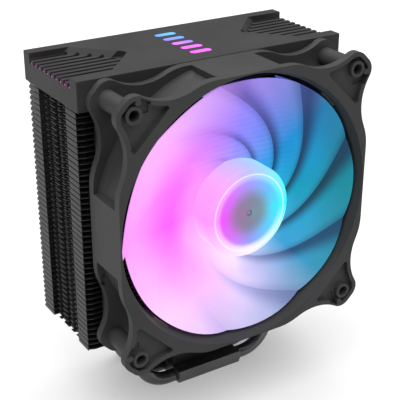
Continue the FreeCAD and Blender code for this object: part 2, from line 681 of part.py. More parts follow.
def make_frame():
    """The moulded fan frame: two flanges, duct, screw tubes, struts and motor base."""
    hole = FAN_HOLE_SPACING / 2
    rear = FAN_DEPTH - FLANGE_THICKNESS
    front_flange = flange_slab(0, FLANGE_THICKNESS)
    front_flange = front_flange.cut(fan_rod(DUCT_RADIUS + 0.5, -1, FLANGE_THICKNESS + 1))
    for quarter in range(4):
        front_flange = front_flange.cut(spun(corner_pocket(), 90 * quarter))
        front_flange = front_flange.cut(spun(cable_window(), 90 * quarter))
    rear_flange = flange_slab(rear, FAN_DEPTH).cut(fan_rod(DUCT_RADIUS + 0.5, rear - 1, FAN_DEPTH + 1))
    flare = fan_cone(BARREL_RADIUS, FAN_SIZE / 2, rear - BARREL_FLARE, rear)
    barrel = fuse_all([fan_rod(BARREL_RADIUS, FINE, FAN_DEPTH - FINE), flare])
    pieces = [front_flange, rear_flange, barrel]
    for side_x in (-1, 1):
        for side_z in (-1, 1):
            x, z = side_x * hole, side_z * hole
            pieces.append(fan_rod(SCREW_TUBE_RADIUS, POCKET_DEPTH, FAN_DEPTH, x, z))
            pieces.append(fan_rod(SCREW_BOSS_RADIUS, 0, FLANGE_THICKNESS, x, z))
    panel_low = (-PANEL_HALF_WIDTH, FLANGE_THICKNESS, DUCT_RADIUS - 4)
    panel = fan_box(panel_low, (PANEL_HALF_WIDTH, rear, FAN_SIZE / 2))
    pieces += [spun(panel, 90 * quarter) for quarter in range(4)]
    nub = fan_rod(NUB_RADIUS, 0, FLANGE_THICKNESS, *NUB_PLACE)
    pieces += [spun(nub, 90 * quarter) for quarter in range(4)]
    frame = fuse_all(pieces)
    frame = frame.cut(fan_rod(DUCT_RADIUS, -1, FAN_DEPTH + 1))
    frame = frame.cut(fan_cone(DUCT_MOUTH_RADIUS, DUCT_RADIUS, 0, DUCT_TAPER))
    frame = frame.cut(fan_rod(DUCT_MOUTH_RADIUS, -1, 0))
    frame = frame.cut(fan_cone(DUCT_RADIUS, DUCT_MOUTH_RADIUS, FAN_DEPTH - DUCT_TAPER, FAN_DEPTH))
    for side_x in (-1, 1):
        for side_z in (-1, 1):
            x, z = side_x * hole, side_z * hole
            frame = frame.cut(fan_rod(SCREW_HOLE_RADIUS, -1, FAN_DEPTH + 1, x, z))
    frame = frame.cut(fan_box(*CABLE_SLOT)).cut(fan_box(*CABLE_SLOT_MOUTH))
    inner = [fan_rod(MOTOR_BASE_RADIUS, MOTOR_BASE_START, FAN_DEPTH)]
    inner.append(fan_ring(MOTOR_BASE_RADIUS, BOARD_RADIUS, BOARD_START, MOTOR_BASE_START))
    for index in range(STRUT_COUNT):
        inner.append(spun(make_strut(index), STRUT_START + index * 360 / STRUT_COUNT))
    pad_half = LIP_PAD_LENGTH / 2
    pad_low = (DUCT_RADIUS - LIP_PAD_HEIGHT, DUCT_TAPER, -pad_half)
    lip_pad = fan_box(pad_low, (DUCT_RADIUS + 0.4, DUCT_TAPER + LIP_PAD_DEPTH, pad_half))
    inner += [spun(lip_pad, angle) for angle in (45, 225)]
    frame = fuse_all([frame] + inner)
    frame = frame.cut(fan_rod(HOUSING_RADIUS, BOARD_START, FAN_DEPTH + 1))
    parts["fan_frame"] = frame


def make_strut(index):
    """One stator vane along +X, leaning against the blades' twist. The one by the cable slot is wide."""
    half = STRUT_HALF_WIDTH * (WIDE_STRUT_SCALE if index == WIDE_STRUT else 1.0)
    start, end = MOTOR_BASE_RADIUS - 1, DUCT_RADIUS + DUCT_OVERLAP
    lean = STRUT_LEAN
    front, back = FAN_DEPTH - STRUT_DEPTH, FAN_DEPTH
    corners = [(front, -half + lean), (front, half + lean), (back, half), (back, -half)]
    points = [Vector(start, FAN_FRONT_Y + depth, FAN_CENTRE_Z + z) for depth, z in corners]
    section = Part.Face(Part.makePolygon(points + points[:1]))
    vane = section.extrude(Vector(end - start, 0, 0))
    return vane.common(fan_rod(DUCT_RADIUS + DUCT_OVERLAP, 0, FAN_DEPTH))


# Rotor


def blade_section(fraction):
    """One closed slice of a blade at a fraction of the way from the root to past the tip."""
    distance = BLADE_ROOT_PLANE + (BLADE_TIP_PLANE - BLADE_ROOT_PLANE) * fraction
    span = BLADE_ROOT_SPAN + (BLADE_TIP_SPAN - BLADE_ROOT_SPAN) * fraction
    front = BLADE_FRONT[0] + (BLADE_FRONT[1] - BLADE_FRONT[0]) * fraction
    back = BLADE_BACK[0] + (BLADE_BACK[1] - BLADE_BACK[0]) * fraction
    thickness = BLADE_THICKNESS[0] + (BLADE_THICKNESS[1] - BLADE_THICKNESS[0]) * fraction
    sweep = BLADE_SWEEP[0] + BLADE_SWEEP[1] * fraction + BLADE_SWEEP[2] * fraction ** 2
    chord = math.hypot(span, back - front)
    bow = chord * BLADE_CAMBER
    normal = ((back - front) / chord, span / chord)
    upper, lower = [], []
    for step in range(BLADE_STEPS + 1):
        along = step / BLADE_STEPS
        tangent = span * (0.5 - along)
        depth = front + (back - front) * along
        lift = 4 * bow * along * (1 - along)
        half = thickness / 2 * (0.35 + 0.65 * math.sqrt(math.sin(math.pi * min(max(along, 0.02), 0.98))))
        for side, row in ((1, upper), (-1, lower)):
            away = lift + side * half
            y = FAN_FRONT_Y + depth + normal[1] * away
            z = FAN_CENTRE_Z - tangent - normal[0] * away
            row.append(Vector(distance, y, z))
    edges = []
    for row in (upper, lower):
        curve = Part.BSplineCurve()
        curve.interpolate(row)
        edges.append(curve.toShape())
    edges.append(Part.makeLine(upper[0], lower[0]))
    edges.append(Part.makeLine(upper[-1], lower[-1]))
    wire = Part.Wire(Part.__sortEdges__(edges))
    return spun(wire, sweep)


def make_blade():
    """One swept, twisted blade, trimmed to the hub's bore and the tip radius."""
    sections = [blade_section(index / BLADE_SECTIONS) for index in range(BLADE_SECTIONS + 1)]
    blade = Part.makeLoft(sections, True, False)
    trimmed = blade.common(fan_rod(BLADE_TIP_RADIUS, -5, FAN_DEPTH + 5))
    return trimmed.cut(fan_rod(HUB_RADIUS - HUB_WALL / 2, -5, FAN_DEPTH + 5))


def make_impeller():
    """The hub cup with its round front edge, its boss for the shaft and its blades."""
    hub_end = HUB_FRONT + HUB_LENGTH
    hub = fan_rod(HUB_RADIUS, HUB_FRONT, hub_end)
    front_y = FAN_FRONT_Y + HUB_FRONT
    front_edge = [e for e in hub.Edges if e.Length > 10 and abs(e.CenterOfMass.y - front_y) < FINE]
    hub = hub.makeFillet(HUB_EDGE_RADIUS, front_edge)
    hub = hub.cut(fan_rod(HUB_RADIUS - HUB_WALL, HUB_FRONT + HUB_WALL, hub_end + 1))
    hub = hub.fuse(fan_rod(SHAFT_BOSS_RADIUS, HUB_FRONT + HUB_WALL / 2, SHAFT_BOSS_END))
    blade = make_blade()
    blades = [spun(blade, index * 360 / BLADE_COUNT) for index in range(BLADE_COUNT)]
    impeller = hub.multiFuse(blades)
    parts["impeller"] = impeller.cut(fan_rod(SHAFT_RADIUS, SHAFT_START, hub_end + 1))


def make_rotor_core():
    """The steel cup, ring magnet, shaft and retaining clip that turn with the impeller."""
    front = HUB_FRONT + HUB_WALL
    cup = fan_rod(YOKE_RADIUS, front, YOKE_END)
    cup = cup.cut(fan_rod(MAGNET_RADIUS, front + YOKE_WALL, YOKE_END + 1))
    parts["rotor_yoke"] = cup.cut(fan_rod(SHAFT_BOSS_RADIUS, front - 1, YOKE_END + 1))
    parts["rotor_magnet"] = fan_ring(MAGNET_RADIUS, MAGNET_BORE, YOKE_END - MAGNET_LENGTH, YOKE_END)
    shaft = fan_rod(SHAFT_RADIUS, SHAFT_START, SHAFT_END)
    clip_end = CLIP_START + CLIP_THICKNESS
    parts["fan_shaft"] = shaft.cut(fan_ring(SHAFT_RADIUS + 1, CLIP_BORE, CLIP_START, clip_end))
    parts["shaft_clip"] = fan_ring(CLIP_RADIUS, CLIP_BORE, CLIP_START, clip_end)


# Motor


def make_bearing():
    """The brass housing, sleeve bearing, thrust plate and rear plug."""
    housing_end = THRUST_START + PLUG_LENGTH + THRUST_THICKNESS
    parts["bearing_housing"] = fan_ring(HOUSING_RADIUS, BEARING_RADIUS, BEARING_START, housing_end)
    bore = SHAFT_RADIUS + BEARING_CLEARANCE
    parts["bearing_sleeve"] = fan_ring(BEARING_RADIUS, bore, BEARING_START + 0.3, BEARING_END)
    thrust_end = THRUST_START + THRUST_THICKNESS
    parts["thrust_plate"] = fan_rod(BEARING_RADIUS, THRUST_START, thrust_end)
    parts["bearing_plug"] = fan_rod(BEARING_RADIUS, thrust_end, housing_end)


def stator_section(start, end, arm_half, shoe_inner, shoe_outer):
    """Four poles on a ring round the bearing housing."""
    ring = fan_rod(STATOR_RING_RADIUS, start, end)
    arms = [ring]
    for quarter in range(2):
        arm = fan_box((-shoe_inner - 0.5, start, -arm_half), (shoe_inner + 0.5, end, arm_half))
        arms.append(spun(arm, 90 * quarter))
    shoes = fan_ring(shoe_outer, shoe_inner, start, end)
    for quarter in range(4):
        gap = fan_box((0, start - 1, -STATOR_SLOT / 2), (shoe_outer + 1, end + 1, STATOR_SLOT / 2))
        shoes = shoes.cut(spun(gap, 45 + 90 * quarter))
    body = fuse_all(arms + [shoes])
    return body.cut(fan_rod(HOUSING_RADIUS, start - 1, end + 1))


def make_stator():
    """The laminated core, the two insulators and the four windings."""
    outer = MAGNET_BORE - AIR_GAP
    shoe = outer - STATOR_SHOE
    parts["stator_core"] = stator_section(STATOR_START, STATOR_END, STATOR_ARM / 2, shoe, outer)
    lining = INSULATOR_THICKNESS
    arm_half = STATOR_ARM / 2
    pairs = (("front", STATOR_START - lining, STATOR_START), ("rear", STATOR_END, STATOR_END + lining))
    for name, start, end in pairs:
        parts[f"stator_insulator_{name}"] = stator_section(start, end, arm_half, shoe, outer - 0.3)
    for quarter in range(4):
        outside = fan_box(
            (STATOR_RING_RADIUS + 0.2, STATOR_START - lining - COIL_DEPTH, -arm_half - COIL_DEPTH),
            (shoe - COIL_END_GAP, STATOR_END + lining + COIL_DEPTH, arm_half + COIL_DEPTH),
        )
        inside = fan_box(
            (0, STATOR_START - lining, -arm_half),
            (outer, STATOR_END + lining, arm_half),
        )
        edges = [e for e in outside.Edges if e.BoundBox.XLength > 1]
        coil = outside.makeFillet(COIL_DEPTH * 0.6, edges).cut(inside)
        parts[f"stator_coil_{quarter + 1}"] = spun(coil, 90 * quarter)


def make_motor_board():
    """The round circuit board with its driver chip, hall sensor and ring of LEDs."""
    board_end = BOARD_START + MOTOR_BOARD_THICKNESS
    parts["motor_board"] = fan_ring(BOARD_RADIUS, HOUSING_RADIUS, BOARD_START, board_end)
    chips = (("driver_chip", DRIVER_CHIP), ("hall_sensor", HALL_SENSOR))
    for name, ((left, right), height, thickness) in chips:
        low = (left, BOARD_START - thickness, -height / 2)
        parts[name] = fan_box(low, (right, BOARD_START, height / 2))
    half = FAN_LED_SIZE / 2
    low = (FAN_LED_RING - half, BOARD_START - FAN_LED_HEIGHT, -half)
    led = fan_box(low, (FAN_LED_RING + half, BOARD_START, half))
    leds = [spun(led, index * 360 / FAN_LED_COUNT) for index in range(FAN_LED_COUNT)]
    parts["fan_leds"] = Part.makeCompound(leds)


def make_vibration_strips():
    """The two rubber strips between the fan's rear face and the fins."""
    fan_back = FAN_FRONT_Y + FAN_DEPTH
    for side, name in ((-1, "left"), (1, "right")):
        low_x, high_x = sorted((side * STRIP_X[0], side * STRIP_X[1]))
        strip = box((low_x, fan_back, STRIP_Z[0]), (high_x, FIN_FRONT_Y, STRIP_Z[1]))
        parts[f"vibration_strip_{name}"] = strip


make_base()
for number, row_y in enumerate(PIPE_ROWS_Y, 1):
    parts[f"heat_pipe_{number}"] = make_heat_pipe(row_y)
make_fin_packs()
make_cover()
make_cover_lighting()
make_frame()
make_impeller()
make_rotor_core()
make_bearing()
make_stator()
make_motor_board()
make_vibration_strips()

os.makedirs("parts", exist_ok=True)
for name, shape in parts.items():
    shape.exportStep(f"parts/{name}.step")
    print(f"{name}: {len(shape.Solids)} solids, valid {shape.isValid()}, {shape.Volume:.1f} mm3")
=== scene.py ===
import json
import math

import bmesh
import bpy
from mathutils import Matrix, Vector


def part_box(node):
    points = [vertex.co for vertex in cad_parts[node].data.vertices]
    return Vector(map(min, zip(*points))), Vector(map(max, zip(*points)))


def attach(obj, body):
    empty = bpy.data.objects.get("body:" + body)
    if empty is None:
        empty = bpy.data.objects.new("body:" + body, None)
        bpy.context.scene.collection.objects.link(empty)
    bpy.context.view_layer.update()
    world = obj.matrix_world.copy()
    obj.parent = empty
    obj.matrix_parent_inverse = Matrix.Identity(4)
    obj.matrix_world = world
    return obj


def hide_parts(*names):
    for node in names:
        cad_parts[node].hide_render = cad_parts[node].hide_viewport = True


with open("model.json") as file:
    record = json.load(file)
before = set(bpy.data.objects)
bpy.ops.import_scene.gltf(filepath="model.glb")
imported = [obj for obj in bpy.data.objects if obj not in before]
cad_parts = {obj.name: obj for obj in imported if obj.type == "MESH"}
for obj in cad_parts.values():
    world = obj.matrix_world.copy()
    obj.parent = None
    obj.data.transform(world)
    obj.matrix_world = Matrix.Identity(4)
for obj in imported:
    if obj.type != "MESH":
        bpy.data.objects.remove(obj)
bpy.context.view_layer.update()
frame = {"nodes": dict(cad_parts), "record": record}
nodes = frame["nodes"]
MM = 0.001

# The fan's axis and face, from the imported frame
frame_low, frame_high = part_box("fan_frame")
FAN_FRONT_Y = frame_low.y
FAN_CENTRE = Vector((0.0, FAN_FRONT_Y, (frame_low.z + frame_high.z) / 2))

# Impeller, in millimetres from the fan's face and axis
BLADE_COUNT = 9
HUB_RADIUS = 20.0
HUB_FRONT = 0.6
HUB_BACK = 18.0
HUB_WALL = 1.3
HUB_RIM_RADIUS = 16.9
HUB_EDGE_DEPTH = 2.2
HUB_STEPS = 128
DIMPLE_RADIUS = 1.05
SHAFT_RADIUS = 1.5
SHAFT_START = 1.6
BOSS_RADIUS = 3.0
BOSS_END = 4.6
ROOT_RADIUS = 19.35
TIP_RADIUS = 56.2
ROOT_PLANE = 15.0
TIP_PLANE = 57.5
ROOT_SPAN = 17.0
TIP_SPAN = 53.2
SWEEP = (-40.8, 159.4, -65.6)
BLADE_FRONT = (14.0, 3.0)
BLADE_BACK = (17.3, 8.4)
BLADE_THICKNESS = (1.9, 1.2)
BLADE_CAMBER = -0.05
SPAN_STEPS = 28
CHORD_STEPS = 22
SEARCH_STEPS = 30
SEARCH_END = 1.05

# Hub details, in millimetres
HUB_DISH = 0.25
HUB_NIPPLE = 0.35
HUB_GROOVE_RADIUS = 1.5
HUB_GROOVE_SIZE = (0.35, 0.12)
HUB_MIDDLE_RADIUS = 5.0
HUB_FACE_RADIUS = 13.2

# Edges sharper than these angles stay sharp, in degrees
BLADE_SHARP_ANGLE = 50
HUB_SHARP_ANGLE = 40
PAD_SHARP_ANGLE = 45

# The pads on the duct's inner wall, in millimetres and degrees
PAD_TURNS = (45, 225)
PAD_RADIUS = 58.0
PAD_HEIGHT = 0.75
PAD_LENGTH = 10.4
PAD_DEPTH = (3.9, 6.9)
PAD_STEPS = 16

# Shine of the plastics and coats
PLASTIC_SHINE = 0.1
COAT_SHINE = 0.22
FROST_SHINE = 0.12

# Floor, in metres: its flat part, then the reach and height that its rim slopes up to
FLOOR_REACH = 5.0
FLOOR_RIM = (6.5, 0.5)
FLOOR_TONE = 0.4
FLOOR_GLOW = 0.35

# Lights
WORLD_STRENGTH = 0.12
SUN_PLACE = (-0.02, 0.0, 2.0)
SUN_ENERGY = 6.5
SUN_SPREAD = 100
SOFTBOX_PLACE = (-0.9, -0.5, 0.55)
SOFTBOX_TARGET = (0, 0, 0.08)
SOFTBOX_ENERGY = 0.02
SOFTBOX_SIZE = (0.3, 0.8)

# Camera
CAMERA_PLACE = (-0.21580, -0.35476, 0.27449)
CAMERA_FORWARD = (0.4827, 0.7677, -0.4214)
CAMERA_LENS = 91.007
CAMERA_SENSOR = 36.0
CAMERA_CLIP = (0.01, 50.0)


def srgb(red, green, blue):
    """A colour given as it looks on a screen, 0 to 255, as the linear value that nodes take."""
    def linear(value):
        value /= 255
        return value / 12.92 if value <= 0.04045 else ((value + 0.055) / 1.055) ** 2.4
    return (linear(red), linear(green), linear(blue), 1.0)


def grey(value):
    """A linear value as a grey colour."""
    return (value, value, value, 1.0)


class Graph:
    """The node tree of one new material, with short calls to add and join nodes."""

    def __init__(self, name):
        self.material = bpy.data.materials.new(name)
        self.material.use_nodes = True
        self.tree = self.material.node_tree
        self.tree.nodes.clear()
        self.output = self.tree.nodes.new("ShaderNodeOutputMaterial")
        self.place = self.add("ShaderNodeTexCoord").outputs["Object"]

    def add(self, kind, inputs=None, **settings):
        node = self.tree.nodes.new(kind)
        for key, value in settings.items():
            setattr(node, key, value)
        for key, value in (inputs or {}).items():
            self.give(node.inputs[key], value)
        return node

    def give(self, socket, value):
        if isinstance(value, bpy.types.NodeSocket):
            self.tree.links.new(value, socket)
        elif isinstance(value, bpy.types.Node):
            self.tree.links.new(value.outputs[0], socket)
        else:
            socket.default_value = value

    def math(self, operation, *values):
        return self.add("ShaderNodeMath", dict(enumerate(values)), operation=operation).outputs[0]

    def vector(self, operation, first, second=None):
        inputs = {0: first} if second is None else {0: first, 1: second}
        return self.add("ShaderNodeVectorMath", inputs, operation=operation)

    def shade(self, tone):
        return self.add("ShaderNodeCombineColor", {0: tone, 1: tone, 2: tone})

    def noise(self, scale, detail=2.0, place=None, roughness=0.5):
        inputs = {"Vector": place or self.place, "Scale": scale, "Detail": detail, "Roughness": roughness}
        return self.add("ShaderNodeTexNoise", inputs).outputs["Fac"]

    def remap(self, value, low, high, new_low, new_high, smooth=False):
        inputs = {"Value": value, "From Min": low, "From Max": high, "To Min": new_low, "To Max": new_high}
        kind = "SMOOTHSTEP" if smooth else "LINEAR"
        return self.add("ShaderNodeMapRange", inputs, interpolation_type=kind).outputs["Result"]

    def mix(self, factor, first, second, blend="MIX"):
        node = self.add("ShaderNodeMix", data_type="RGBA", blend_type=blend)
        for index, value in ((0, factor), (6, first), (7, second)):
            self.give(node.inputs[index], value)
        return node.outputs[2]

    def ramp(self, value, stops, kind="EASE"):
        node = self.add("ShaderNodeValToRGB", {"Fac": value})
        node.color_ramp.interpolation = kind
        elements = node.color_ramp.elements
        while len(elements) < len(stops):
            elements.new(0.5)
        for element, (position, colour) in zip(elements, stops):
            element.position = position
            element.color = colour
        return node.outputs["Color"]

    def stretched(self, scale):
        return self.add("ShaderNodeMapping", {"Vector": self.place, "Scale": scale}).outputs["Vector"]

    def rounded_edges(self, radius):
        """The normal with edges rounded by a radius, and how near an edge a point is."""
        bevel = self.add("ShaderNodeBevel", {"Radius": radius}, samples=6).outputs["Normal"]
        flat = self.add("ShaderNodeNewGeometry").outputs["Normal"]
        facing = self.vector("DOT_PRODUCT", bevel, flat).outputs["Value"]
        return bevel, self.remap(facing, 0.99, 0.8, 0.0, 1.0)

    def bump(self, height, strength, distance, normal=None):
        inputs = {"Height": height, "Strength": strength, "Distance": distance}
        if normal is not None:
            inputs["Normal"] = normal
        return self.add("ShaderNodeBump", inputs).outputs["Normal"]

    def finish(self, colour, roughness, metallic=0.0, normal=None, **extra):
        inputs = {"Base Color": colour, "Roughness": roughness, "Metallic": metallic}
        inputs.update({key.replace("_", " "): value for key, value in extra.items()})
        shader = self.add("ShaderNodeBsdfPrincipled", inputs)
        if normal is not None:
            self.give(shader.inputs["Normal"], normal)
        self.tree.links.new(shader.outputs[0], self.output.inputs["Surface"])
        return self.material


def moulded_plastic(name, colour, roughness, edge_light=1.6, edge_radius=0.35 * MM, grain=0.3):
    """Moulded plastic: fine spark texture, slight flow marks, paler edges that are partly wear and partly a
    painted highlight.
    """
    g = Graph(name)
    bevel, edge = g.rounded_edges(edge_radius)
    cloud = g.noise(38.0, 4.0)
    breakup = g.noise(900.0, 3.0)
    grain_height = g.noise(3200.0, 3.0, roughness=0.65)
    tone = g.remap(cloud, 0.3, 0.7, 0.88, 1.12)
    base = g.mix(1.0, colour, g.shade(tone), "MULTIPLY")
    # Paler edges, partly wear and partly a painted highlight.
    worn_and_highlit = tuple(channel * edge_light for channel in colour[:3]) + (1.0,)
    wear_and_highlight = g.math("MULTIPLY", edge, g.remap(breakup, 0.35, 0.65, 0.45, 1.0))
    base = g.mix(wear_and_highlight, base, worn_and_highlit)
    rough = g.math("ADD", g.remap(cloud, 0.3, 0.7, roughness - 0.05, roughness + 0.05),
                   g.remap(grain_height, 0.3, 0.7, -0.04, 0.04))
    normal = g.bump(grain_height, grain, 0.04 * MM, bevel)
    return g.finish(base, rough, normal=normal, Specular_IOR_Level=PLASTIC_SHINE)


def coated_metal(name, colour, roughness, metallic, along, edge_light=1.5, wear_and_highlight_radius=0.2 * MM):
    """Coated or bare sheet metal with faint drawing lines along one direction, and paler edges that are
    partly wear and partly a painted highlight.
    """
    g = Graph(name)
    bevel, edge = g.rounded_edges(wear_and_highlight_radius)
    lines = g.noise(1.0, 3.0, g.stretched(along))
    cloud = g.noise(55.0, 4.0)
    tone = g.math("MULTIPLY", g.remap(cloud, 0.3, 0.7, 0.85, 1.15), g.remap(lines, 0.3, 0.7, 0.93, 1.07))
    base = g.mix(1.0, colour, g.shade(tone), "MULTIPLY")
    # Paler edges, partly wear and partly a painted highlight.
    worn_and_highlit = tuple(min(channel * edge_light, 1.0) for channel in colour[:3]) + (1.0,)
    base = g.mix(g.math("MULTIPLY", edge, 0.6), base, worn_and_highlit)
    rough = g.remap(lines, 0.3, 0.7, roughness - 0.06, roughness + 0.06)
    normal = g.bump(lines, 0.12, 0.03 * MM, bevel)
    return g.finish(base, rough, metallic, normal, Specular_IOR_Level=COAT_SHINE)


def fan_polar(g):
    """A point seen from the fan's axis: turn, then radius, depth and height in mm.

    The turn goes from 0 to 1, from the left through bottom, right and top.
    """
    local = g.vector("SUBTRACT", g.place, tuple(FAN_CENTRE)).outputs["Vector"]
    parts = g.add("ShaderNodeSeparateXYZ", {0: local})
    turn = g.math("ARCTAN2", parts.outputs["Z"], parts.outputs["X"])
    turn = g.math("ADD", g.math("DIVIDE", turn, 2 * math.pi), 0.5)
    flat = g.add("ShaderNodeCombineXYZ", {"X": parts.outputs["X"], "Z": parts.outputs["Z"]})
    radius = g.math("DIVIDE", g.vector("LENGTH", flat).outputs["Value"], MM)
    depth = g.math("DIVIDE", parts.outputs["Y"], MM)
    height = g.math("DIVIDE", parts.outputs["Z"], MM)
    return turn, radius, depth, height


def colour_wheel(g, turn, colours):
    """A ring of evenly spaced colours that closes on itself."""
    stops = [(index / len(colours), colour) for index, colour in enumerate(colours)]
    return g.ramp(turn, stops + [(1.0, colours[0])], "LINEAR")


# Each ring goes: left, lower left, bottom, lower right, right, upper right, top, upper left
RIM_COLOURS = [
    srgb(255, 155, 255), srgb(255, 205, 255), srgb(205, 195, 240), srgb(50, 146, 180),
    srgb(6, 134, 150), srgb(24, 118, 168), srgb(160, 135, 235), srgb(252, 180, 255),
]
ROOT_COLOURS = [
    srgb(255, 95, 255), srgb(255, 165, 255), srgb(235, 210, 255), srgb(55, 158, 210),
    srgb(0, 152, 184), srgb(5, 138, 208), srgb(140, 130, 255), srgb(240, 130, 255),
]
INNER_COLOURS = [
    srgb(255, 150, 255), srgb(255, 190, 255), srgb(250, 230, 255), srgb(90, 185, 240),
    srgb(0, 170, 208), srgb(40, 150, 225), srgb(150, 145, 255), srgb(245, 145, 255),
]
HUB_COLOURS = [
    srgb(255, 150, 255), srgb(255, 205, 255), srgb(250, 235, 255), srgb(190, 240, 255),
    srgb(40, 245, 255), srgb(120, 235, 255), srgb(185, 190, 255), srgb(250, 165, 255),
]
EDGE_COLOURS = [
    srgb(235, 80, 250), srgb(215, 110, 245), srgb(150, 150, 245), srgb(90, 200, 255),
    srgb(60, 225, 255), srgb(100, 190, 250), srgb(160, 150, 245), srgb(215, 110, 250),
]

# Radii, in mm, between which one ring gives way to the next
INNER_TO_ROOT = (21.0, 33.0)
ROOT_TO_RIM = (34.0, 54.0)

# Where the fins behind show through as faint rows of light, round the same ring
STRIPE_PLACES = [grey(value) for value in (0.0, 0.0, 0.0, 0.1, 0.3, 0.9, 1.0, 0.2)]
STRIPE_LIGHT = 0.16
STRIPE_RADII = (24.0, 50.0)
FIN_PITCH = 2.4425

# The duller glow where a blade passes under its neighbour's front edge
BAND_COLOURS = [
    srgb(255, 140, 255), srgb(255, 185, 255), srgb(165, 165, 225), srgb(40, 82, 122),
    srgb(18, 66, 84), srgb(20, 60, 104), srgb(84, 74, 160), srgb(236, 150, 252),
]

# The bands drown in the strong pink light on the left
BAND_PLACES = [grey(value) for value in (0.0, 0.1, 0.7, 1.0, 1.0, 1.0, 0.8, 0.15)]

# Where a band starts and is full, from a blade's front edge (0) to its rear edge (1)
COVERED_BAND = (0.36, 0.6)
FRONT_BAND = (0.14, 0.0)
FRONT_BAND_DEPTH = 0.45


def blade_material():
    """Frosted plastic with the hub's light painted on as a glow, and painted shade where the next blade's
    front edge covers it.
    """
    g = Graph("frosted_blades")
    turn, radius, _, height = fan_polar(g)
    inner_part = g.remap(radius, *INNER_TO_ROOT, 0.0, 1.0, smooth=True)
    outer_part = g.remap(radius, *ROOT_TO_RIM, 0.0, 1.0, smooth=True)
    glow = g.mix(inner_part, colour_wheel(g, turn, INNER_COLOURS), colour_wheel(g, turn, ROOT_COLOURS))
    glow = g.mix(outer_part, glow, colour_wheel(g, turn, RIM_COLOURS))
    across = g.add("ShaderNodeAttribute", attribute_name="across").outputs["Fac"]
    # Painted shade: darker where the next blade's front edge covers this one, and along this blade's own
    # front edge.
    band = g.math("ADD", g.remap(across, *COVERED_BAND, 0.0, 1.0, smooth=True),
                  g.remap(across, *FRONT_BAND, 0.0, FRONT_BAND_DEPTH, smooth=True))
    band = g.math("MULTIPLY", band, colour_wheel(g, turn, BAND_PLACES))
    glow = g.mix(band, glow, colour_wheel(g, turn, BAND_COLOURS))
    frost = g.noise(2200.0, 3.0)
    cloud = g.noise(60.0, 2.0)
    strength = g.remap(cloud, 0.3, 0.7, 0.95, 1.05)
    rows = g.math("SINE", g.math("MULTIPLY", height, 2 * math.pi / FIN_PITCH))
    rows = g.remap(rows, 0.55, 1.0, 0.0, STRIPE_LIGHT, smooth=True)
    rows = g.math("MULTIPLY", rows, colour_wheel(g, turn, STRIPE_PLACES))
    rows = g.math("MULTIPLY", rows, g.remap(radius, *STRIPE_RADII, 1.0, 0.2))
    strength = g.math("ADD", strength, rows)
    normal = g.bump(frost, 0.25, 0.03 * MM)
    tint = g.mix(0.94, glow, srgb(12, 12, 16))
    return g.finish(tint, g.remap(frost, 0.3, 0.7, 0.34, 0.5), normal=normal,
                    Emission_Color=glow, Emission_Strength=strength, Specular_IOR_Level=FROST_SHINE)


def hub_material():
    """The hub, its light painted on as a glow: a lit side, a bright ring at its front edge, a duller middle
    and a painted dark ring round the dimple.
    """
    g = Graph("frosted_hub")
    turn, radius, depth, _ = fan_polar(g)
    side = colour_wheel(g, turn, HUB_COLOURS)
    inner = colour_wheel(g, turn, EDGE_COLOURS)
    middle = srgb(128, 126, 134)
    outward = g.remap(radius, HUB_MIDDLE_RADIUS, HUB_FACE_RADIUS, 0.16, 1.0, smooth=True)
    face = g.mix(outward, middle, inner)
    # Painted shade: a dark ring over the groove round the dimple.
    ring_gap = g.math("ABSOLUTE", g.math("SUBTRACT", radius, DIMPLE_RADIUS))
    face = g.mix(g.remap(ring_gap, 0.15, 0.45, 0.45, 0.0, smooth=True), face, srgb(40, 34, 40))
    face = g.mix(g.remap(radius, HUB_FACE_RADIUS, 16.2, 0.0, 1.0, smooth=True), face, side)
    ring = g.mix(0.7, side, srgb(255, 255, 255))
    from_ring = g.math("ABSOLUTE", g.math("SUBTRACT", radius, HUB_RIM_RADIUS))
    near_ring = g.remap(from_ring, 0.5, 0.1, 0.0, 1.0, smooth=True)
    at_front = g.remap(depth, 0.9, 0.5, 0.0, 1.0)
    glow = g.mix(g.remap(radius, 16.3, 16.7, 0.0, 1.0), face, side)
    glow = g.mix(g.math("MULTIPLY", near_ring, at_front), glow, ring)
    lit = g.remap(radius, HUB_MIDDLE_RADIUS, 15.5, 0.92, 1.0, smooth=True)
    turned = g.noise(1.0, 2.0, g.add("ShaderNodeCombineXYZ", {"X": g.math("MULTIPLY", radius, 6.0)}))
    frost = g.noise(2200.0, 3.0)
    normal = g.bump(turned, 0.08, 0.02 * MM, g.bump(frost, 0.2, 0.03 * MM))
    tint = g.mix(0.93, glow, srgb(14, 14, 18))
    return g.finish(tint, g.remap(frost, 0.3, 0.7, 0.3, 0.45), normal=normal,
                    Emission_Color=glow, Emission_Strength=lit, Specular_IOR_Level=FROST_SHINE)


def emblem_material():
    """Clear plastic lit from below: pink at the front left, blue at the back right."""
    g = Graph("emblem_glow")
    low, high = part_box("emblem_lens")
    parts = g.add("ShaderNodeSeparateXYZ", {0: g.place})
    along = g.remap(parts.outputs["Y"], low.y, high.y, 0.0, 1.0)
    sideways = g.remap(parts.outputs["X"], low.x, high.x, -0.18, 0.18)
    value = g.math("ADD", along, sideways)
    glow = g.ramp(value, [
        (0.0, srgb(255, 95, 250)), (0.35, srgb(250, 110, 255)), (0.6, srgb(150, 130, 255)),
        (0.8, srgb(90, 170, 245)), (1.0, srgb(95, 200, 245)),
    ], "LINEAR")
    frost = g.noise(1800.0, 2.0)
    normal = g.bump(frost, 0.15, 0.02 * MM)
    return g.finish(g.mix(0.8, glow, srgb(30, 30, 36)), g.remap(frost, 0.3, 0.7, 0.2, 0.35), normal=normal,
                    Emission_Color=glow, Emission_Strength=1.0)


